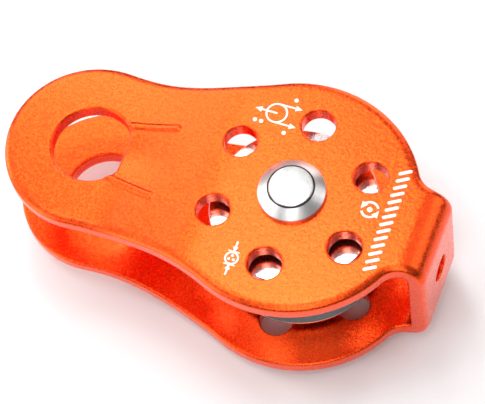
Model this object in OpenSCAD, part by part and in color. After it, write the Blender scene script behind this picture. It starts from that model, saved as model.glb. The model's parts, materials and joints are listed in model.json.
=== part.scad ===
// Rope pulley with fixed side plates: one aluminium strap bent into a U carries a riveted
// axle, and a grooved sheave turns on it on two small ball bearings. Millimetres.
// Origin: centre of the carabiner eye, midway between the plates. +X runs from the eye to the
// web that joins the plates, and +Z runs along the axle.

/* [Side plates] */
// Distance from the eye's centre to the axle
eye_to_axle = 39.6; // [38:0.1:44]
// Radius of the plates around the eye
eye_r = 16.4; // [14:0.1:18]
// Radius of the plates around the sheave
head_r = 23.1; // [22:0.1:25]
// Radius of the hollow flank between the two
waist_r = 60; // [50:1:90]
// Thickness of the strap
plate_t = 3.3; // [2.8:0.1:4]
// Height over both plates at the sheave
frame_h = 27.9; // [27:0.1:30]
// How far each plate is drawn in at the eye
draw_in = 3; // [1:0.1:3.5]
// Where the drawn-in stretch ends and the flat plate round the sheave begins
draw_end = 27.5; // [24:0.5:30]
// Distance from the axle to the web's outer face
web_offset = 27.6; // [26:0.1:30]
// Width of the web
web_w = 17; // [14:0.5:20]
// Outer radius of the two bends
bend_r = 5; // [4:0.1:6]
// Radius of the hollow between plate and web
neck_r = 4.5; // [3:0.1:6]

/* [Holes] */
// Radius of the carabiner eye
eye_hole_r = 7.5; // [7:0.1:8]
// Distance from the eye's centre to its flat side
eye_flat = 6.4; // [6:0.1:6.6]
// Diameter of the lightening holes
light_d = 6.2; // [5:0.1:6.5]
// Pitch circle radius of the lightening holes
light_pitch_r = 14.5; // [13:0.1:16]
// Number of lightening holes in each plate
light_n = 6; // [4:1:6]
// Diameter of the hole in the web
web_hole_d = 5.2; // [4:0.1:6]

/* [Ribs beside the eye] */
// Width of a rib
rib_w = 1.4; // [1:0.1:2]
// Height of a rib above the plate
rib_h = 0.35; // [0.3:0.05:0.8]
// Angle between a rib and the long axis
rib_angle = 10; // [5:1:15]

/* [Sheave] */
// Radius of the sheave's flanges
sheave_r = 15.6; // [15:0.1:16.5]
// Width of the sheave
sheave_w = 17.9; // [17.5:0.1:18.2]
// Radius at the bottom of the rope groove
tread_r = 10.5; // [10:0.1:11]
// Radius of the groove's round bottom
groove_r = 6.3; // [5.5:0.1:6.5]
// Width of the flat land at each flange's rim
rim_land = 0.6; // [0.5:0.05:0.8]

/* [Axle] */
// Diameter of the axle
axle_d = 8; // [7.8:0.1:8.2]
// Outer diameter of a rivet collar
collar_d = 12.4; // [11:0.1:14]
// Height of a rivet collar at its bore
collar_h = 2.5; // [1:0.05:3]
// Height of the axle's riveted end above the plate
head_h = 2.75; // [1.2:0.05:3.2]
// How much wider the riveted end is than the axle, on the radius
head_flare = 0.25; // [0.1:0.05:0.3]

/* [Bearings] */
// Outer diameter of a bearing
bearing_d = 16; // [15:0.5:16]
// Width of a bearing
bearing_w = 5; // [4:0.5:5]
// Depth of a bearing below the sheave's side face
bearing_inset = 0.3; // [0.2:0.1:0.5]
// Diameter of a ball
ball_d = 2.4; // [2:0.1:2.5]
// Number of balls in a bearing
ball_n = 9; // [7:1:10]

/* [Fits] */
// Radial gap of a fit between pieces that don't move against each other
fit_gap = 0.02; // [0.01:0.01:0.03]
// Radial gap round the running balls
run_gap = 0.03; // [0.02:0.01:0.05]

/* [Hidden] */
$fn = 96;
UP = 1;
DOWN = -1;
over = 1;                                   // how far a cutting shape runs past a face

// Plates
axle_x = eye_to_axle;
web_x = axle_x + web_offset;
half_h = frame_h / 2;
inner_h = half_h - plate_t;
draw_lead = 1;                              // how far inside the eye's flat side the drawn-in stretch starts
draw_start = eye_flat - draw_lead;
draw_steps = 14;
bend_steps = 12;

// Share of the drawing-in that applies at a place along the plate, from 1 at the eye to 0
function drawn(x) = x <= draw_start ? 1 : x >= draw_end ? 0
    : (1 + cos(180 * (x - draw_start) / (draw_end - draw_start))) / 2;
function outer_z(x) = half_h - draw_in * drawn(x);
function mirrored(points) = [for (i = [len(points) - 1 : -1 : 0]) [points[i].x, -points[i].y]];

// The hollow flank touches both round ends, and the neck hollow touches the head and the web
waist_x = (pow(eye_r + waist_r, 2) - pow(head_r + waist_r, 2) + pow(axle_x, 2)) / (2 * axle_x);
waist_c = [waist_x, sqrt(pow(eye_r + waist_r, 2) - pow(waist_x, 2))];
eye_touch = waist_c * eye_r / (eye_r + waist_r);
head_touch = [axle_x, 0] + (waist_c - [axle_x, 0]) * head_r / (head_r + waist_r);
neck_y = web_w / 2 + neck_r;
neck_c = [axle_x + sqrt(pow(head_r + neck_r, 2) - pow(neck_y, 2)), neck_y];
neck_touch = [axle_x, 0] + (neck_c - [axle_x, 0]) * head_r / (head_r + neck_r);

// Ribs
rib_start = [5.9, 5.7];
rib_len = 9.5;
rib_root = 1;                               // how deep a rib reaches into the plate
rib_steps = 6;

// Sheave: the flare is the tangent from the rim's land to the groove's round bottom
groove_c = tread_r + groove_r;
land_z = sheave_w / 2 - rim_land;
flare_a = atan2(land_z, groove_c - sheave_r) - acos(groove_r / norm([groove_c - sheave_r, land_z]));
flare_foot = [groove_c - groove_r * cos(flare_a), groove_r * sin(flare_a)];
flare_top = [sheave_r, land_z] + 2 * over * [sin(flare_a), cos(flare_a)];
rim_chamfer = 0.25;
shoulder_r = bearing_d / 2 - 1;

// Bearings
axle_r = axle_d / 2;
bearing_top = sheave_w / 2 - bearing_inset;
bearing_z = bearing_top - bearing_w / 2;
bearing_foot = bearing_top - bearing_w;
pitch_r = (axle_d + bearing_d) / 4;
race_r = ball_d / 2 + run_gap;
inner_land = 0.9;                           // from the pitch circle in to the inner ring's land
outer_land = 0.95;                          // and out to the outer ring's land
inner_land_r = pitch_r - inner_land;
outer_land_r = pitch_r + outer_land;
shield_t = 0.25;
shield_seat = 0.35;                         // how far a shield reaches into the outer ring
shield_gap = 0.15;                          // from a shield to the inner ring and to the bearing's side
shield_seat_r = outer_land_r + shield_seat;
shield_rise = bearing_w / 2 - shield_gap - shield_t;
cage_half_w = 0.6;
cage_half_h = 1.55;

// Axle, washers and collars
head_chamfer = 0.3;
collar_edge_h = 1.05;                       // height of a collar at its outer edge, where its cone starts
collar_lip = 0.2;                           // width of the flat ring at a collar's bore
washer_r = 6.5;
washer_rise = 0.3;                          // from the sheave's side face to the washer's flange
neck_slack = 0.1;                           // how much narrower a washer's neck is than the inner ring
washer_neck_r = inner_land_r - neck_slack;
washer_step_z = sheave_w / 2 + washer_rise;
end_fit = 0.06;                             // the fine groove between the axle's end and its collar

module at_axle(side = UP) {
    if (side == UP) translate([axle_x, 0, 0]) children();
    else mirror([0, 0, 1]) translate([axle_x, 0, 0]) children();
}

// A ring of the given profile about the axle
module turned(side = UP) {
    at_axle(side) rotate_extrude() children();
}

// A box in a turned profile, from radius r1 to r2 and from height z1 to z2
module band(r1, r2, z1, z2) {
    translate([r1, z1]) square([r2 - r1, z2 - z1]);
}

// Outline of the strap seen along the axle
module plan_outline() {
    difference() {
        union() {
            circle(eye_r);
            translate([axle_x, 0]) circle(head_r);
            for (flip = [0, 1]) mirror([0, flip]) {
                polygon([[0, 0], eye_touch, head_touch, [axle_x, 0]]);
                polygon([[axle_x, 0], neck_touch, [neck_c.x, web_w / 2], [web_x, web_w / 2], [web_x, 0]]);
            }
        }
        for (flip = [0, 1]) mirror([0, flip]) {
            translate(waist_c) circle(waist_r);
            translate(neck_c) circle(neck_r);
        }
    }
}

// Upper half of a face of the bent strap seen from the side, at a depth below its outer face
function strap_face(depth) = concat(
    [[-eye_r - over, outer_z(0) - depth]],
    [for (i = [0 : draw_steps]) let (x = draw_start + (draw_end - draw_start) * i / draw_steps)
        [x, outer_z(x) - depth]],
    [for (i = [0 : bend_steps]) let (a = 90 - 90 * i / bend_steps)
        [web_x - bend_r + (bend_r - depth) * cos(a), half_h - bend_r + (bend_r - depth) * sin(a)]]);

// The bent strap seen from the side, a U that is open at the eye
module side_outline() {
    outside = strap_face(0);
    inside = strap_face(plate_t);
    polygon(concat(outside, mirrored(outside), [for (p = inside) [p.x, -p.y]],
        [for (i = [len(inside) - 1 : -1 : 0]) inside[i]]));
}

// The eye has one flat side, towards the sheave
module eye_hole() {
    difference() {
        cylinder(r = eye_hole_r, h = frame_h + 2 * over, center = true);
        translate([eye_flat, -eye_hole_r, -frame_h]) cube([eye_hole_r, 2 * eye_hole_r, 2 * frame_h]);
    }
}

// A rib follows the drawn-in face from the eye's flat side towards the sheave
module rib() {
    top = [for (i = [0 : rib_steps]) let (x = rib_len * i / rib_steps)
        [x, outer_z(rib_start.x + x * cos(rib_angle)) + rib_h]];
    foot = [for (i = [rib_steps : -1 : 0]) [top[i].x, top[i].y - rib_h - rib_root]];
    translate(rib_start) rotate([0, 0, rib_angle]) rotate([90, 0, 0])
        linear_extrude(height = rib_w, center = true) polygon(concat(top, foot));
}

module side_plates() {
    color("darkorange") difference() {
        union() {
            intersection() {
                rotate([90, 0, 0]) linear_extrude(height = 2 * (head_r + over), center = true) side_outline();
                linear_extrude(height = frame_h, center = true) plan_outline();
            }
            for (side = [0, 1], flip = [0, 1]) mirror([0, 0, side]) mirror([0, flip, 0]) rib();
        }
        eye_hole();
        translate([axle_x, 0, 0]) cylinder(r = axle_r + fit_gap, h = frame_h + 2 * over, center = true);
        for (i = [0 : light_n - 1]) translate([axle_x, 0, 0]) rotate([0, 0, (i + 0.5) * 360 / light_n])
            translate([light_pitch_r, 0, 0]) cylinder(d = light_d, h = frame_h + 2 * over, center = true);
        translate([web_x - plate_t - over, 0, 0]) rotate([0, 90, 0])
            cylinder(d = web_hole_d, h = plate_t + 2 * over);
    }
}

// Solid pin whose two ends are flared into the rivet collars
module axle() {
    flare_top_z = half_h + collar_h;
    end_z = half_h + head_h;
    head_r2 = axle_r + head_flare;
    color("silver") turned() polygon([
        [0, -end_z], [head_r2 - head_chamfer, -end_z], [head_r2, -flare_top_z], [axle_r, -half_h],
        [axle_r, half_h], [head_r2, flare_top_z], [head_r2 - head_chamfer, end_z], [0, end_z]]);
}

// Bevelled ring on the plate's outer face, with a flared bore that holds the axle's end
module rivet_collar(side) {
    bore_r = axle_r + head_flare + end_fit;
    color("gainsboro") turned(side) polygon([
        [axle_r + end_fit, half_h], [collar_d / 2, half_h], [collar_d / 2, half_h + collar_edge_h],
        [bore_r + collar_lip, half_h + collar_h], [bore_r, half_h + collar_h]]);
}

// Stepped washer that keeps the sheave centred between the plates
module thrust_washer(side) {
    color("darkkhaki") turned(side) {
        band(axle_r + fit_gap, washer_neck_r, bearing_top, washer_step_z);
        band(axle_r + fit_gap, washer_r, washer_step_z, inner_h);
    }
}

// Tube that keeps the two inner rings apart
module centre_spacer() {
    color("dimgray") turned() band(axle_r + fit_gap, washer_neck_r, -bearing_foot, bearing_foot);
}

module sheave() {
    color("lightgray") turned() difference() {
        polygon([[shoulder_r, -sheave_w / 2], [sheave_r - rim_chamfer, -sheave_w / 2],
            [sheave_r, -sheave_w / 2 + rim_chamfer], [sheave_r, sheave_w / 2 - rim_chamfer],
            [sheave_r - rim_chamfer, sheave_w / 2], [shoulder_r, sheave_w / 2]]);
        translate([groove_c, 0]) circle(groove_r);
        polygon([flare_foot, flare_top, [flare_top.x, -flare_top.y], [flare_foot.x, -flare_foot.y]]);
        for (flip = [0, 1]) mirror([0, flip])
            band(0, bearing_d / 2 + fit_gap, bearing_foot, sheave_w / 2 + over);
    }
}

// The round raceway of a bearing, in a turned profile
module raceway() {
    translate([pitch_r, bearing_z]) circle(race_r);
}

module inner_ring(side) {
    color("silver") turned(side) difference() {
        band(axle_r + fit_gap, inner_land_r, bearing_foot, bearing_top);
        raceway();
    }
}

module outer_ring(side) {
    color("silver") turned(side) difference() {
        band(outer_land_r, bearing_d / 2, bearing_foot, bearing_top);
        raceway();
        for (z = [bearing_foot, bearing_z + shield_rise])
            band(outer_land_r - over, shield_seat_r, z, z + bearing_w / 2 - shield_rise);
    }
}

// Thin ring pressed into the outer ring, clear of the inner one
module shield(side, z) {
    color("slategray") turned(side)
        band(inner_land_r + shield_gap, shield_seat_r - fit_gap, z, z + shield_t);
}

module outside_shield(side) {
    shield(side, bearing_z + shield_rise);
}

module inside_shield(side) {
    shield(side, bearing_z - shield_rise - shield_t);
}

// One shape for each ball, set round the pitch circle
module at_balls(side) {
    at_axle(side) for (i = [0 : ball_n - 1]) rotate([0, 0, i * 360 / ball_n])
        translate([pitch_r, 0, bearing_z]) children();
}

module balls(side) {
    color("white") at_balls(side) sphere(d = ball_d);
}

module cage(side) {
    color("peru") difference() {
        turned(side) band(pitch_r - cage_half_w, pitch_r + cage_half_w,
            bearing_z - cage_half_h, bearing_z + cage_half_h);
        at_balls(side) rotate([0, 90, 0])
            cylinder(r = ball_d / 2 + 2 * run_gap, h = 2 * cage_half_w + over, center = true);
    }
}

side_plates();
axle();
rivet_collar(UP);  // upper_rivet_collar
rivet_collar(DOWN);  // lower_rivet_collar
thrust_washer(UP);  // upper_thrust_washer
thrust_washer(DOWN);  // lower_thrust_washer
centre_spacer();
sheave();
inner_ring(UP);  // upper_inner_ring
inner_ring(DOWN);  // lower_inner_ring
outer_ring(UP);  // upper_outer_ring
outer_ring(DOWN);  // lower_outer_ring
balls(UP);  // upper_balls
balls(DOWN);  // lower_balls
cage(UP);  // upper_cage
cage(DOWN);  // lower_cage
outside_shield(UP);  // upper_outside_shield
inside_shield(UP);  // upper_inside_shield
outside_shield(DOWN);  // lower_outside_shield
inside_shield(DOWN);  // lower_inside_shield
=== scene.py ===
"""Looks of a rope pulley with fixed side plates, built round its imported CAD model.

Meshes are worked out in millimetres in the CAD frame and stored in metres. The frame's origin is the centre
of the carabiner eye, +X points to the web that joins the plates, and +Z lies along the axle."""

import json
import math

import bmesh
import bpy
import numpy as np
from mathutils import Matrix, Vector
from mathutils.geometry import delaunay_2d_cdt
from mathutils.kdtree import KDTree


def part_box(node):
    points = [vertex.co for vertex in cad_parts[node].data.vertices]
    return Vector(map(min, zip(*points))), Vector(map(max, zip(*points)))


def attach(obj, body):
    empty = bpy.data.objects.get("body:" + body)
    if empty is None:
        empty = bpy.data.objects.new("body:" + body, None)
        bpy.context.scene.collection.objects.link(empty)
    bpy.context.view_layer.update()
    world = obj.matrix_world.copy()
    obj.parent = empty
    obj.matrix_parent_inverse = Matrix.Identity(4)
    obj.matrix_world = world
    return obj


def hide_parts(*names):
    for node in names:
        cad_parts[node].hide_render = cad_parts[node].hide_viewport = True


MM = 0.001
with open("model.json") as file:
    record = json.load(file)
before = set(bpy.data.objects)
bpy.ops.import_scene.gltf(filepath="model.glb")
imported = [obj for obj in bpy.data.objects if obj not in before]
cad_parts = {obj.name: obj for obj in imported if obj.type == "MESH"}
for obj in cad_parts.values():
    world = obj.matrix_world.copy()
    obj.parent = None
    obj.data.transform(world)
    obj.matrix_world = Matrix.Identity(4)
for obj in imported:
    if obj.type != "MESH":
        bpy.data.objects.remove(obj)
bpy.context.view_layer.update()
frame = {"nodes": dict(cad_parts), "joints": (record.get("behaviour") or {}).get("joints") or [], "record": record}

# ---------------------------------------------------------------- sizes, from the frame
MOUNTS = {m["name"]: m for m in frame["record"]["mounts"]}
JOINTS = {j["name"]: j for j in frame["joints"]}
plates_low, plates_high = (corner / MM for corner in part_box("side_plates"))
sheave_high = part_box("sheave")[1] / MM
axle_low, axle_high = (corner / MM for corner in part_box("axle"))
collar_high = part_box("upper_rivet_collar")[1] / MM

AXLE_X = JOINTS["sheave_spin"]["pos_m"][0] / MM
EYE_R = -plates_low.x
HEAD_R = plates_high.y
WEB_X = plates_high.x
HALF_H = plates_high.z
PLATE_T = MOUNTS["web_eye"]["dims"]["length_mm"]
DRAW_IN = HALF_H - MOUNTS["carabiner_eye"]["dims"]["length_mm"] / 2
EYE_HOLE_R = MOUNTS["carabiner_eye"]["dims"]["r_mm"]
WEB_HOLE_R = MOUNTS["web_eye"]["dims"]["r_mm"]
FLOOR_Z = axle_low.z

# Sizes of the strap that the frame doesn't state, as in the CAD model
WAIST_R = 60
DRAW_START, DRAW_END = 5.4, 27.5
BEND_R = 5
WEB_HALF_W = 8.5
NECK_R = 4.5
EYE_FLAT = 6.4
EYE_CORNER_R = 1.0
LIGHT_HOLE_R = 3.1
LIGHT_PITCH_R = 14.5
AXLE_HOLE_R = 4.02
RIB_START = (5.9, 5.7)
RIB_LEAD = 1.6
RIB_LEN = 9.6
RIB_ANGLE = math.radians(10)
RIB_H = 0.34
RIB_FLAT = 0.26
RIB_FLANK = 0.62
RIB_LEAD_FADE = 0.6
RIB_END_FADE = 0.9

# Relief that only the looks have: the tongue between the ribs is dished, and the plate falls away at its edges
DISH_DEPTH = 0.4
DISH_HALF_W = 5.6
DISH_START, DISH_START_FADE = 4.5, 2.0
DISH_END, DISH_END_FADE = 20, 13
EDGE_DROP = 0.5
EDGE_DROP_END, EDGE_DROP_FADE = 24, 18

# Edge roundings of the strap: across and down at its outer face, and the radius at its inner face
RIM_ROUND = (1.7, 0.95, 0.45)
EYE_ROUND = (0.6, 0.5, 0.4)
HOLE_ROUND = (0.45, 0.35, 0.3)
OUTER_RINGS, INNER_RINGS = 9, 6
SUPPORT = 0.12                             # flat stretch kept beside each rounding

# ---------------------------------------------------------------- mesh helpers


def new_piece(name, vertices, faces, material, sharp=40):
    """A smooth-shaded piece from vertices in millimetres."""
    mesh = bpy.data.meshes.new(name)
    mesh.from_pydata([tuple(v) for v in np.asarray(vertices) * MM], [], faces)
    mesh.validate()
    mesh.shade_smooth()
    mesh.set_sharp_from_angle(angle=math.radians(sharp))
    mesh.materials.append(material)
    piece = bpy.data.objects.new(name, mesh)
    bpy.context.scene.collection.objects.link(piece)
    weighted = piece.modifiers.new("flat faces stay flat", "WEIGHTED_NORMAL")
    weighted.keep_sharp = True
    weighted.weight = 80
    return piece


def arc(centre, radius, start, end, steps):
    """Points from one angle to another, in degrees, both ends included."""
    angles = np.radians(np.linspace(start, end, steps + 1))
    return np.column_stack([centre[0] + radius * np.cos(angles), centre[1] + radius * np.sin(angles)])


def rounded(points, radii, steps=4):
    """An open or closed profile with an arc in place of each corner that has a radius."""
    out = []
    for i, point in enumerate(points):
        radius = radii[i]
        if not radius:
            out.append(point)
            continue
        here = Vector(point)
        before = (Vector(points[i - 1]) - here).normalized()
        after = (Vector(points[(i + 1) % len(points)]) - here).normalized()
        half = before.angle(after) / 2
        centre = here + (before + after).normalized() * (radius / math.sin(half))
        first = here + before * (radius / math.tan(half)) - centre
        last = here + after * (radius / math.tan(half)) - centre
        turn = first.angle_signed(last)
        for k in range(steps + 1):
            out.append(tuple(centre + Matrix.Rotation(-turn * k / steps, 2) @ first))
    return out


def revolved(name, profile, material, side=1, steps=160, closed=True, sharp=40):
    """A turned piece about the axle. A profile that isn't closed starts and ends on the axis."""
    count = len(profile)
    angles = [2 * math.pi * k / steps for k in range(steps)]
    vertices = [(AXLE_X + r * math.cos(a), r * math.sin(a), side * z) for a in angles for r, z in profile]
    faces = []
    for k in range(steps):
        here, there = k * count, (k + 1) % steps * count
        for i in range(count if closed else count - 1):
            j = (i + 1) % count
            faces.append((here + i, here + j, there + j, there + i))
    if not closed:
        faces = open_ends(vertices, faces, profile, side, steps)
    piece = new_piece(name, vertices, faces, material, sharp)
    make_outward(piece)
    return piece


def open_ends(vertices, faces, profile, side, steps):
    """Joins the first and the last point of every slice into one point on the axis."""
    count = len(profile)
    first, last = len(vertices), len(vertices) + 1
    vertices += [(AXLE_X, 0, side * profile[0][1]), (AXLE_X, 0, side * profile[-1][1])]
    swap = {}
    for k in range(steps):
        swap[k * count] = first
        swap[k * count + count - 1] = last
    out = []
    for face in faces:
        corners = []
        for corner in (swap.get(c, c) for c in face):
            if corner not in corners:
                corners.append(corner)
        out.append(tuple(corners))
    used = sorted({c for face in out for c in face})
    place = {c: i for i, c in enumerate(used)}
    vertices[:] = [vertices[c] for c in used]
    return [tuple(place[c] for c in face) for face in out]


def make_outward(piece):
    """Turns every face outward."""
    work = bmesh.new()
    work.from_mesh(piece.data)
    bmesh.ops.recalc_face_normals(work, faces=work.faces)
    work.to_mesh(piece.data)
    work.free()


# ---------------------------------------------------------------- the strap, laid flat
# A point of the flat strap has a place t along it, a place y across it and a depth below its outer face.
# t is the CAD model's x up to the first bend, and the strap is the same on both sides of its middle, T_MID.

MID_BEND_R = BEND_R - PLATE_T / 2
BEND_X = WEB_X - BEND_R
BEND_LEN = MID_BEND_R * math.pi / 2
T_MID = BEND_X + BEND_LEN + HALF_H - BEND_R

waist_x = ((EYE_R + WAIST_R) ** 2 - (HEAD_R + WAIST_R) ** 2 + AXLE_X ** 2) / (2 * AXLE_X)
waist_y = math.sqrt((EYE_R + WAIST_R) ** 2 - waist_x ** 2)
neck_y = WEB_HALF_W + NECK_R
neck_x = AXLE_X + math.sqrt((HEAD_R + NECK_R) ** 2 - neck_y ** 2)
waist_to_eye = math.degrees(math.atan2(-waist_y, -waist_x))
waist_to_head = math.degrees(math.atan2(-waist_y, AXLE_X - waist_x))
neck_to_head = math.degrees(math.atan2(-neck_y, AXLE_X - neck_x))


def strap_loop(inset):
    """The strap's outline, pulled in by inset, counter-clockwise."""
    quarter = np.vstack([
        arc((0, 0), EYE_R - inset, 180, waist_to_eye + 180, 48)[:-1],
        arc((waist_x, waist_y), WAIST_R + inset, waist_to_eye, waist_to_head, 22)[:-1],
        arc((AXLE_X, 0), HEAD_R - inset, waist_to_head + 180, neck_to_head + 180, 84)[:-1],
        arc((neck_x, neck_y), NECK_R + inset, neck_to_head, -90, 14)[:-1],
        np.column_stack([np.linspace(neck_x, T_MID, 30), np.full(30, WEB_HALF_W - inset)]),
    ])
    far = quarter[-2::-1] * (-1, 1) + (2 * T_MID, 0)
    half = np.vstack([quarter, far])
    return np.vstack([half, half[-2:0:-1] * (1, -1)])[::-1]


def eye_loop(inset, mirrored):
    """The D-shaped eye, widened by inset."""
    corner_x = EYE_FLAT - EYE_CORNER_R
    corner_y = math.sqrt((EYE_HOLE_R - EYE_CORNER_R) ** 2 - corner_x ** 2)
    corner_a = math.degrees(math.atan2(corner_y, corner_x))
    upper = np.vstack([
        np.column_stack([np.full(6, EYE_FLAT + inset), np.linspace(0, corner_y, 6)])[:-1],
        arc((corner_x, corner_y), EYE_CORNER_R + inset, 0, corner_a, 8)[:-1],
        arc((0, 0), EYE_HOLE_R + inset, corner_a, 180, 44),
    ])
    loop = np.vstack([upper, upper[-2:0:-1] * (1, -1)])
    return loop * (-1, 1) + (2 * T_MID, 0) if mirrored else loop


def round_loop(centre, radius, inset, steps=48):
    return arc(centre, radius + inset, 0, 360, steps)[:-1]


def strap_edges():
    """Every edge of the strap: its loop as a function of the inset, and its two roundings."""
    edges = [(strap_loop, RIM_ROUND)]
    for mirrored in (False, True):
        edges.append((lambda inset, m=mirrored: eye_loop(inset, m), EYE_ROUND))
        axle_t = 2 * T_MID - AXLE_X if mirrored else AXLE_X
        edges.append((lambda inset, t=axle_t: round_loop((t, 0), AXLE_HOLE_R, inset), HOLE_ROUND))
        for k in range(6):
            angle = math.radians(30 + 60 * k)
            centre = (axle_t + LIGHT_PITCH_R * math.cos(angle), LIGHT_PITCH_R * math.sin(angle))
            edges.append((lambda inset, c=centre: round_loop(c, LIGHT_HOLE_R, inset), HOLE_ROUND))
    edges.append((lambda inset: round_loop((T_MID, 0), WEB_HOLE_R, inset), HOLE_ROUND))
    return edges


def edge_profile(roundings):
    """(inset, depth) of each ring from the outer face over the edge to the inner face."""
    across, down, inner = roundings
    rings = [(across + SUPPORT, 0)]
    for a in np.radians(np.linspace(0, 90, OUTER_RINGS)):
        rings.append((across * (1 - math.sin(a)), down * (1 - math.cos(a))))
    for a in np.radians(np.linspace(90, 0, INNER_RINGS)):
        rings.append((inner * (1 - math.sin(a)), PLATE_T - inner * (1 - math.cos(a))))
    rings.append((inner + SUPPORT, PLATE_T))
    return rings


def smoothstep(value):
    v = np.clip(value, 0, 1)
    return v * v * (3 - 2 * v)


def folded(t):
    """The same place on the upper half of the strap."""
    return np.where(t > T_MID, 2 * T_MID - t, t)


def relief(t, y):
    """Height above the outer face: the ribs, less the dish between them and the drop at the edges."""
    x = folded(t)
    side = np.abs(y)
    along = (x - RIB_START[0]) * math.cos(RIB_ANGLE) + (side - RIB_START[1]) * math.sin(RIB_ANGLE)
    across = (side - RIB_START[1]) * math.cos(RIB_ANGLE) - (x - RIB_START[0]) * math.sin(RIB_ANGLE)
    flank = smoothstep(1 - (np.abs(across) - RIB_FLAT) / RIB_FLANK)
    ends = smoothstep((RIB_LEN - along) / RIB_END_FADE) * smoothstep((along + RIB_LEAD) / RIB_LEAD_FADE)
    near = smoothstep((x - DISH_START) / DISH_START_FADE) * smoothstep((DISH_END - x) / DISH_END_FADE)
    half_w = DISH_HALF_W + (x - RIB_START[0]) * math.tan(RIB_ANGLE)
    dish = DISH_DEPTH * near * np.cos(np.clip(y / half_w, -1, 1) * math.pi / 2) ** 2
    drop = EDGE_DROP * (y / EYE_R) ** 2 * smoothstep((EDGE_DROP_END - x) / EDGE_DROP_FADE)
    return RIB_H * flank * ends - dish - drop


def drawn_in(x):
    """How far the plate is drawn in towards the other one."""
    share = np.clip((x - DRAW_START) / (DRAW_END - DRAW_START), 0, 1)
    return DRAW_IN * (1 + np.cos(np.pi * share)) / 2


def bent(t, y, depth):
    """Where points of the flat strap are once it is bent and drawn in."""
    x = folded(t)
    sign = np.where(t > T_MID, -1.0, 1.0)
    depth = depth - relief(t, y) * (1 - depth / PLATE_T)
    flat_z = HALF_H - drawn_in(x) - depth
    angle = np.clip((x - BEND_X) / MID_BEND_R, 0, math.pi / 2)
    bend_x = BEND_X + (BEND_R - depth) * np.sin(angle)
    bend_z = HALF_H - BEND_R + (BEND_R - depth) * np.cos(angle) - np.maximum(x - BEND_X - BEND_LEN, 0)
    on_bend = x > BEND_X
    return np.column_stack([np.where(on_bend, bend_x, x), y, sign * np.where(on_bend, bend_z, flat_z)])


def block(t0, t1, dt, half_y, dy):
    """A plain grid of points, with steps as near to dt and dy as divide its sides."""
    ts = np.linspace(t0, t1, max(2, round((t1 - t0) / dt) + 1))
    ys = np.linspace(-half_y, half_y, 2 * round(half_y / dy) + 1)
    return np.array([(t, y) for t in ts for y in ys])


def beside_eye(points):
    """Whether points lie in the stretch that holds the ribs and the dish."""
    return (points[:, 0] > 5) & (points[:, 0] < 21) & (np.abs(points[:, 1]) < 9)


def tree_of(points):
    tree = KDTree(len(points))
    for i, (x, y) in enumerate(points):
        tree.insert((x, y, 0), i)
    tree.balance()
    return tree


def away_from(points, tree, gap):
    """The points that keep the gap to every point of the tree."""
    return np.array([p for p in points if tree.find((p[0], p[1], 0))[2] > gap])


def rib_points():
    """Rows of points along both ribs."""
    cosine, sine = math.cos(RIB_ANGLE), math.sin(RIB_ANGLE)
    x0, y0 = RIB_START
    rib = np.array([(x0 + s * cosine - d * sine, y0 + s * sine + d * cosine)
                    for s in np.arange(-RIB_LEAD, RIB_LEN + 1.0, 0.22) for d in np.linspace(-1.05, 1.05, 14)])
    return np.vstack([rib, rib * (1, -1)])


def grid_points():
    """Points inside the strap's faces: finer along the bends, beside the eyes and on the ribs."""
    coarse = block(-EYE_R, BEND_X, 0.85, HEAD_R, 0.85)
    fine = block(5.2, 20.8, 0.4, 8.8, 0.4)
    ribs = rib_points()
    bends = block(BEND_X + 0.2, BEND_X + BEND_LEN, 0.35, HEAD_R, 0.8)
    web = block(BEND_X + BEND_LEN + 0.6, T_MID, 0.85, WEB_HALF_W, 0.8)
    fine = away_from(fine[beside_eye(fine)], tree_of(ribs), 0.25)
    half = np.vstack([coarse[~beside_eye(coarse)], fine, ribs, bends, web])
    far = half[half[:, 0] < T_MID - 0.01] * (-1, 1) + (2 * T_MID, 0)
    return np.vstack([half, far])


def inside(points, loops):
    """Even-odd test of points against closed loops."""
    odd = np.zeros(len(points), bool)
    for loop in loops:
        a, b = loop, np.roll(loop, -1, 0)
        for (x0, y0), (x1, y1) in zip(a, b):
            if y0 == y1:
                continue
            crosses = (points[:, 1] >= min(y0, y1)) & (points[:, 1] < max(y0, y1))
            at_x = x0 + (points[:, 1] - y0) * (x1 - x0) / (y1 - y0)
            odd ^= crosses & (points[:, 0] < at_x)
    return odd


def filled(loops, grid):
    """Triangles between the loops, as indices into the loops' points followed by new ones."""
    rim = np.vstack(loops)
    free = away_from(grid[inside(grid, loops)], tree_of(rim), 0.3)
    edges = []
    start = 0
    for loop in loops:
        edges += [(start + i, start + (i + 1) % len(loop)) for i in range(len(loop))]
        start += len(loop)
    points = np.vstack([rim, free])
    result = delaunay_2d_cdt([Vector(p) for p in points], edges, [], 0, 1e-6, True)
    placed, triangles, origins = result[0], result[2], result[3]
    places = np.array([tuple(v) for v in placed])
    centres = places[np.array(triangles)].mean(1)
    keep = inside(centres, loops)
    index = [origin[0] for origin in origins]
    return free, [tuple(index[c] for c in tri) for tri, ok in zip(triangles, keep) if ok]


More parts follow.
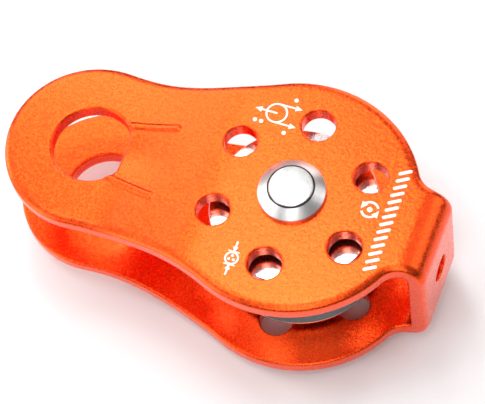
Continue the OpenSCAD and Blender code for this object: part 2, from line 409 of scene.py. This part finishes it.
def side_plates(material):
    """The strap: rings over every edge, and a triangulated outer and inner face between them."""
    edges = strap_edges()
    vertices, faces, outer_start, inner_start = [], [], [], []
    total = 0
    for loop_at, roundings in edges:
        rings = [bent(loop[:, 0], loop[:, 1], np.full(len(loop), depth))
                 for loop, depth in ((loop_at(inset), depth) for inset, depth in edge_profile(roundings))]
        count = len(rings[0])
        outer_start.append(total)
        inner_start.append(total + (len(rings) - 1) * count)
        for r in range(len(rings) - 1):
            for i in range(count):
                j = (i + 1) % count
                a = total + r * count
                faces.append((a + i, a + count + i, a + count + j, a + j))
        vertices += rings
        total += len(rings) * count
    grid = grid_points()
    for starts, depth, which in ((outer_start, 0, 0), (inner_start, PLATE_T, 2)):
        loops = [loop_at(roundings[which] + SUPPORT) for loop_at, roundings in edges]
        free, triangles = filled(loops, grid)
        index = [start + i for start, loop in zip(starts, loops) for i in range(len(loop))]
        index += range(total, total + len(free))
        faces += [tuple(index[c] for c in tri) for tri in triangles]
        vertices.append(bent(free[:, 0], free[:, 1], np.full(len(free), depth)))
        total += len(free)
    piece = new_piece("side_plates_formed", np.vstack(vertices), faces, material, sharp=50)
    make_outward(piece)
    return piece


# ---------------------------------------------------------------- turned pieces

RIM_LAND = 0.6
TREAD_R = 10.5
GROOVE_R = 6.3
BEARING_R = 8
BEARING_W = 5
BEARING_INSET = 0.3
COLLAR_EDGE_H = 1.05
COLLAR_BULGE = 0.03
COLLAR_STEPS = 10
BORE_CLEARANCE = 0.06
END_CHAMFER = 0.25
END_GAP = 0.12                             # the axle's end is this much slimmer, for the dark ring round it
END_RIM_H = 0.2
FLARE_H = 0.5


def sheave(material):
    rim_r = sheave_high.y
    half_w = sheave_high.z
    groove_c = TREAD_R + GROOVE_R
    land_z = half_w - RIM_LAND
    reach = math.hypot(groove_c - rim_r, land_z)
    flare = math.atan2(land_z, groove_c - rim_r) - math.acos(GROOVE_R / reach)
    foot = math.degrees(flare)
    groove = [(groove_c - GROOVE_R * math.cos(math.radians(a)), GROOVE_R * math.sin(math.radians(a)))
              for a in np.linspace(-foot, foot, 40)]
    seat_z = half_w - BEARING_INSET - BEARING_W
    shoulder_r = BEARING_R - 1
    lower = [(shoulder_r, -seat_z), (BEARING_R, -seat_z), (BEARING_R, -half_w),
             (rim_r, -half_w), (rim_r, -land_z)]
    upper = [(r, -z) for r, z in reversed(lower)]
    points = lower + groove + upper
    radii = [0.15, 0.1, 0.2, 0.28, 0.22] + [0] * len(groove) + [0.22, 0.28, 0.2, 0.1, 0.15]
    return revolved("sheave_turned", rounded(points, radii), material, steps=192)


def axle(material):
    end_r, end_z = axle_high.y, axle_high.z
    pin_r = AXLE_HOLE_R - 0.02
    half = [(0, end_z), (end_r - END_CHAMFER, end_z), (end_r - END_GAP, end_z - END_RIM_H),
            (end_r - END_GAP, collar_high.z - FLARE_H), (pin_r, HALF_H)]
    points = half + [(r, -z) for r, z in reversed(half)]
    radii = [0, 0.2, 0.1, 0.05, 0.3, 0.3, 0.05, 0.1, 0.2, 0]
    return revolved("axle_turned", rounded(points, radii, 5), material, steps=128, closed=False)


def rivet_collar(name, material, side):
    """A ring whose top is a slightly rounded cone from its outer edge up to its bore."""
    bore_r = axle_high.y + BORE_CLEARANCE
    outer_r, top_z = collar_high.y, collar_high.z
    edge_z = HALF_H + COLLAR_EDGE_H
    cone = []
    for share in (k / COLLAR_STEPS for k in range(1, COLLAR_STEPS)):
        bulge = COLLAR_BULGE * math.sin(math.pi * share)
        cone.append((outer_r + (bore_r - outer_r) * share + bulge, edge_z + (top_z - edge_z) * share + bulge))
    foot = [(bore_r - 0.2, HALF_H), (outer_r, HALF_H), (outer_r, edge_z)]
    lip = [(bore_r + 0.03, top_z), (bore_r, top_z - 0.05)]
    radii = [0, 0.05, 0.1] + [0] * (len(cone) + len(lip))
    return revolved(name, rounded(foot + cone + lip, radii, 5), material, side, steps=128)


# ---------------------------------------------------------------- white marks on the upper plate

MARK_RISE = 0.02
MARK_ROOT = 0.05
MARK_STEP = 0.0002                          # each shape a little higher, so that no two tops fall together
MARK_W = 0.34


def line(x0, y0, x1, y1, width=MARK_W):
    """A line with round ends."""
    heading = math.degrees(math.atan2(y1 - y0, x1 - x0))
    return [np.vstack([arc((x1, y1), width / 2, heading - 90, heading + 90, 6),
                       arc((x0, y0), width / 2, heading + 90, heading + 270, 6)])]


def arrowhead(x, y, heading, size=0.95):
    turn = Matrix.Rotation(math.radians(heading), 2)
    corners = [Vector((size, 0)), Vector((-size * 0.35, size * 0.62)), Vector((-size * 0.35, -size * 0.62))]
    return [np.array([tuple(Vector((x, y)) + turn @ c) for c in corners])]


def ring(x, y, radius, start=0, end=360, width=MARK_W):
    """A ring or a part of one, as a row of short blocks."""
    steps = max(8, round(abs(end - start) / 8))
    outer = arc((x, y), radius + width / 2, start, end, steps)
    inner = arc((x, y), radius - width / 2, start, end, steps)
    return [np.array([outer[k], outer[k + 1], inner[k + 1], inner[k]]) for k in range(steps)]


def dot(x, y, radius):
    return ring(x, y, radius / 2, width=radius)


def load_drawing(x, y):
    """A sheave, its load towards the eye, the two ends of the rope, and a dot for each share of the load."""
    radius = 1.9
    shapes = ring(x, y, radius) + line(x, y, x - 3.0, y) + arrowhead(x - 3.2, y, 180)
    for rope_y in (y - radius, y + radius):
        shapes += line(x, rope_y, x + 3.2, rope_y) + arrowhead(x + 3.4, rope_y, 0)
    shapes += dot(x - 3.4, y - 2.4, 0.4) + dot(x - 2.2, y - 2.4, 0.4)
    shapes += dot(x + 2.6, y - radius - 1.6, 0.4) + dot(x + 2.6, y + radius + 1.6, 0.4)
    return shapes


def rope_drawing(x, y):
    """The section of a rope with three strands, between two dimension arrows."""
    shapes = ring(x, y, 1.15)
    for a in np.radians((90, 210, 330)):
        shapes += dot(x + 0.5 * math.cos(a), y + 0.5 * math.sin(a), 0.26)
    for side in (-1, 1):
        shapes += line(x, y + side * 2.1, x, y + side * 3.3)
        shapes += arrowhead(x, y + side * 2.0, -90 * side, 0.8)
        shapes += line(x - 1.0, y + side * 1.32, x + 1.0, y + side * 1.32, 0.2)
    return shapes


def turning_drawing(x, y):
    """Two arrows round a hub, for the sheave that turns."""
    radius = 1.5
    shapes = []
    for turn in (0, 180):
        a = math.radians(turn + 150)
        shapes += ring(x, y, radius, turn + 25, turn + 150, 0.42)
        shapes += arrowhead(x + radius * math.cos(a), y + radius * math.sin(a), turn + 250, 1.0)
    return shapes + ring(x, y, 0.3, width=0.4)


def laid_rope(x, half_l, strands=14):
    """A length of laid rope, as a row of slanted strands."""
    half_w = 0.85
    shapes = []
    for y in np.linspace(-half_l, half_l, strands):
        shapes += line(x - half_w, y - 0.5, x + half_w, y + 0.5, 0.62)
    return shapes


def marks(material):
    """Drawings with no lettering, each shape a thin prism let into the plate."""
    outlines = load_drawing(AXLE_X - 8.2, 14.6) + rope_drawing(AXLE_X - 5.9, -15.4)
    outlines += turning_drawing(AXLE_X + 14.4, 1.0) + laid_rope(AXLE_X + 18.1, 9.9)
    vertices, faces = [], []
    for k, outline in enumerate(outlines):
        start, count = len(vertices), len(outline)
        face_z = HALF_H - drawn_in(outline[:, 0])
        for height in (MARK_RISE + MARK_STEP * k, -MARK_ROOT):
            vertices += [(x, y, z + height) for (x, y), z in zip(outline, face_z)]
        faces.append(tuple(range(start, start + count)))
        faces.append(tuple(range(start + 2 * count - 1, start + count - 1, -1)))
        for i in range(count):
            j = (i + 1) % count
            faces.append((start + i, start + count + i, start + count + j, start + j))
    piece = new_piece("plate_marks", vertices, faces, material)
    make_outward(piece)
    return piece


# ---------------------------------------------------------------- materials


class Nodes:
    """A short way to build a material's node tree."""

    def __init__(self, name, **sockets):
        self.material = bpy.data.materials.new(name)
        self.material.use_nodes = True
        self.tree = self.material.node_tree
        self.shader = self.tree.nodes["Principled BSDF"]
        for key, value in sockets.items():
            self.shader.inputs[key.replace("_", " ")].default_value = value

    def add(self, kind, inputs=None, **settings):
        node = self.tree.nodes.new(kind)
        for key, value in settings.items():
            setattr(node, key, value)
        for key, value in (inputs or {}).items():
            if isinstance(value, bpy.types.NodeSocket):
                self.tree.links.new(value, node.inputs[key])
            else:
                node.inputs[key].default_value = value
        return node

    def link(self, output, socket):
        self.tree.links.new(output, self.shader.inputs[socket])

    def noise(self, place, scale, detail=2, roughness=0.5):
        return self.add("ShaderNodeTexNoise", {"Vector": place, "Scale": scale, "Detail": detail,
                                               "Roughness": roughness}).outputs["Fac"]

    def place(self, centre=(0, 0, 0)):
        """Object coordinates in metres, about a centre."""
        coords = self.add("ShaderNodeTexCoord").outputs["Object"]
        mapping = self.add("ShaderNodeMapping", {"Vector": coords, "Location": [-c for c in centre]})
        return mapping.outputs["Vector"]

    def ramp(self, value, low, high, out_low, out_high):
        return self.add("ShaderNodeMapRange", {"Value": value, "From Min": low, "From Max": high,
                                               "To Min": out_low, "To Max": out_high}).outputs["Result"]

    def blend(self, factor, first, second):
        mix = self.add("ShaderNodeMix", data_type="RGBA")
        self.tree.links.new(factor, mix.inputs[0])
        mix.inputs[6].default_value = first
        mix.inputs[7].default_value = second
        return mix.outputs[2]

    def bump(self, height, distance, strength=1.0):
        inputs = {"Height": height, "Distance": distance, "Strength": strength}
        return self.add("ShaderNodeBump", inputs).outputs["Normal"]


def darker(tone, share):
    return [c * share for c in tone[:3]] + [1]


def anodised(name, deep, light):
    """Bead-blasted and dyed aluminium: a fine even grain."""
    m = Nodes(name, Metallic=1.0, Coat_Weight=0.3, Coat_Roughness=0.3, Coat_IOR=1.5)
    place = m.place()
    grain = m.noise(place, 1500, 3, 0.65)
    m.link(m.blend(m.ramp(grain, 0.4, 0.6, 0, 1), deep, light), "Base Color")
    m.link(m.ramp(grain, 0.3, 0.7, 0.22, 0.32), "Roughness")
    m.link(m.bump(grain, 0.0001, 0.8), "Normal")
    return m.material


def turned_steel(name, tone, rough, ring_scale, depth, centre):
    """Steel with the fine rings that a lathe leaves round the axle, and soft smudges."""
    m = Nodes(name, Metallic=1.0)
    place = m.place(centre=centre)
    wave = {"Vector": place, "Scale": ring_scale, "Distortion": 1.2, "Detail": 2.0, "Detail Scale": 1.5}
    rings = m.add("ShaderNodeTexWave", wave, wave_type="RINGS", rings_direction="Z").outputs["Fac"]
    smudge = m.noise(place, 260, 3, 0.6)
    m.link(m.blend(m.ramp(smudge, 0.35, 0.65, 0, 1), tone, darker(tone, 0.78)), "Base Color")
    m.link(m.ramp(smudge, 0.3, 0.7, rough * 0.8, rough * 1.25), "Roughness")
    m.link(m.bump(rings, depth), "Normal")
    return m.material


def plain_metal(name, tone, rough):
    m = Nodes(name, Metallic=1.0)
    place = m.place()
    speckle = m.noise(place, 900, 2, 0.5)
    m.link(m.blend(m.ramp(speckle, 0.3, 0.7, 0, 1), tone, darker(tone, 0.85)), "Base Color")
    m.link(m.ramp(speckle, 0.3, 0.7, rough, rough * 1.4), "Roughness")
    m.link(m.bump(speckle, 0.00001, 0.4), "Normal")
    return m.material


def laser_mark():
    """Marking that has bared the aluminium under the dye."""
    m = Nodes("laser_mark", Metallic=0.0, Roughness=0.55)
    place = m.place()
    speckle = m.noise(place, 3000, 2, 0.5)
    m.link(m.blend(m.ramp(speckle, 0.3, 0.7, 0, 1), (0.93, 0.92, 0.9, 1), (0.8, 0.78, 0.75, 1)), "Base Color")
    m.link(m.bump(speckle, 0.00001, 0.5), "Normal")
    return m.material


def floor_material():
    m = Nodes("pale_table", Roughness=0.5)
    place = m.place()
    cloud = m.noise(place, 4, 2, 0.5)
    m.link(m.blend(cloud, (0.81, 0.81, 0.82, 1), (0.84, 0.84, 0.84, 1)), "Base Color")
    return m.material


# ---------------------------------------------------------------- camera, table and light


CAMERA_AT = (135.0, -173.8, 395.9)
CAMERA_FORWARD = (-0.2400, 0.3937, -0.8874)
CAMERA_UP = (-0.2671, 0.8520, 0.4503)
CAMERA_LENS = 178.2
TABLE_HALF_W = 600

AIM = (32, 0, 0)
BOX_DISTANCE, BOX_SIZE = 350, 180
# Large soft boxes aimed at the object: azimuth, elevation, power
BOXES = {
    "back_left": (135, 35, 0.33), "left": (180, 30, 0.22), "front_left": (225, 35, 0.18),
    "back_right": (33, 28, 0.2), "right_high": (48, 56, 0.07), "left_low": (225, 12, 0.3),
    "left_edge": (180, 12, 0.3), "back_low": (88, 18, 0.3), "front": (290, 45, 0.3),
}
PANEL_HEIGHT, PANEL_SIZE = 310, 60
# Small panels that point straight down: x, y, power
PANELS = {
    "over_head": (-35, 105, 0.13), "over_back": (-90, 215, 0.13), "over_eye": (-200, 105, 0.06),
    "over_front": (-90, -25, 0.12), "over_right": (15, 45, 0.15), "over_camera": (70, -90, 0.12),
}


def look(obj, position, forward, up):
    """Places a camera or a light and turns it."""
    forward, up = Vector(forward).normalized(), Vector(up)
    right = forward.cross(up).normalized()
    up = right.cross(forward)
    turn = Matrix((right, up, -forward)).transposed()
    obj.matrix_world = Matrix.Translation(Vector(position) * MM) @ turn.to_4x4()


def add_camera():
    data = bpy.data.cameras.new("camera")
    data.lens = CAMERA_LENS
    data.sensor_width = 36
    data.clip_start = 0.01
    data.clip_end = 10
    camera = bpy.data.objects.new("camera", data)
    bpy.context.scene.collection.objects.link(camera)
    look(camera, CAMERA_AT, CAMERA_FORWARD, CAMERA_UP)
    bpy.context.scene.camera = camera


def add_softbox(name, position, target, size, power):
    data = bpy.data.lights.new(name, "AREA")
    data.size = size * MM
    data.energy = power
    lamp = bpy.data.objects.new(name, data)
    bpy.context.scene.collection.objects.link(lamp)
    forward = Vector(target) - Vector(position)
    look(lamp, position, forward, (0, 1, 0) if abs(forward.normalized().y) < 0.9 else (0, 0, 1))


def add_table():
    half = TABLE_HALF_W
    vertices = [(-half, -half, FLOOR_Z), (half, -half, FLOOR_Z), (half, half, FLOOR_Z), (-half, half, FLOOR_Z)]
    mesh = bpy.data.meshes.new("table")
    mesh.from_pydata([tuple(c * MM for c in v) for v in vertices], [], [(0, 1, 2, 3)])
    mesh.materials.append(floor_material())
    table = bpy.data.objects.new("table", mesh)
    bpy.context.scene.collection.objects.link(table)


def add_world():
    """A white room that is darker towards the horizon."""
    world = bpy.data.worlds.new("studio")
    world.use_nodes = True
    tree = world.node_tree
    tree.nodes["Background"].inputs["Strength"].default_value = 0.3
    coords = tree.nodes.new("ShaderNodeTexCoord")
    height = tree.nodes.new("ShaderNodeSeparateXYZ")
    shade = tree.nodes.new("ShaderNodeMapRange")
    shade.interpolation_type = "SMOOTHSTEP"
    for key, value in (("From Min", 0.1), ("From Max", 0.5), ("To Min", 0.3), ("To Max", 1.0)):
        shade.inputs[key].default_value = value
    tree.links.new(coords.outputs["Generated"], height.inputs[0])
    tree.links.new(height.outputs["Z"], shade.inputs["Value"])
    tree.links.new(shade.outputs["Result"], tree.nodes["Background"].inputs["Color"])
    bpy.context.scene.world = world


def add_lights():
    for name, (azimuth, elevation, power) in BOXES.items():
        a, h = math.radians(azimuth), math.radians(elevation)
        heading = Vector((math.cos(h) * math.cos(a), math.cos(h) * math.sin(a), math.sin(h)))
        add_softbox(name, Vector(AIM) + BOX_DISTANCE * heading, AIM, BOX_SIZE, power)
    for name, (x, y, power) in PANELS.items():
        add_softbox(name, (x, y, PANEL_HEIGHT), (x, y, 0), PANEL_SIZE, power)


bpy.context.scene.view_settings.view_transform = "Standard"
add_camera()
add_table()
add_world()
add_lights()

# ---------------------------------------------------------------- the pieces

orange = anodised("anodised_orange", (1.0, 0.066, 0.001, 1), (1.0, 0.086, 0.003, 1))
axle_place = (AXLE_X * MM, 0, 0)
axle_steel = turned_steel("axle_steel", (0.4, 0.395, 0.39, 1), 0.3, 900, 0.000002, axle_place)
collar_steel = turned_steel("collar_steel", (0.72, 0.71, 0.7, 1), 0.36, 900, 0.000002, axle_place)
sheave_metal = turned_steel("polished_sheave", (0.86, 0.86, 0.87, 1), 0.14, 1300, 0.000002, axle_place)

plates = side_plates(orange)
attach(plates, "frame")
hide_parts("side_plates")

wheel = sheave(sheave_metal)
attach(wheel, "sheave")
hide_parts("sheave")

pin = axle(axle_steel)
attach(pin, "frame")
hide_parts("axle")

for node, side in (("upper_rivet_collar", 1), ("lower_rivet_collar", -1)):
    collar = rivet_collar(node + "_turned", collar_steel, side)
    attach(collar, "frame")
    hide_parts(node)

drawing = marks(laser_mark())
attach(drawing, "frame")

CAD_FINISH = {
    "thrust_washer": plain_metal("bronze", (0.62, 0.42, 0.18, 1), 0.35),
    "centre_spacer": plain_metal("spacer_aluminium", (0.75, 0.75, 0.77, 1), 0.3),
    "inner_ring": plain_metal("ring_steel", (0.72, 0.72, 0.74, 1), 0.12),
    "outer_ring": plain_metal("outer_ring_steel", (0.7, 0.7, 0.72, 1), 0.12),
    "balls": plain_metal("ball_steel", (0.8, 0.8, 0.82, 1), 0.06),
    "cage": plain_metal("cage_brass", (0.75, 0.55, 0.25, 1), 0.3),
    "shield": plain_metal("shield_steel", (0.5, 0.5, 0.52, 1), 0.32),
}
for name, node in frame["nodes"].items():
    for part, material in CAD_FINISH.items():
        if name.endswith(part):
            node.data.materials.clear()
            node.data.materials.append(material)
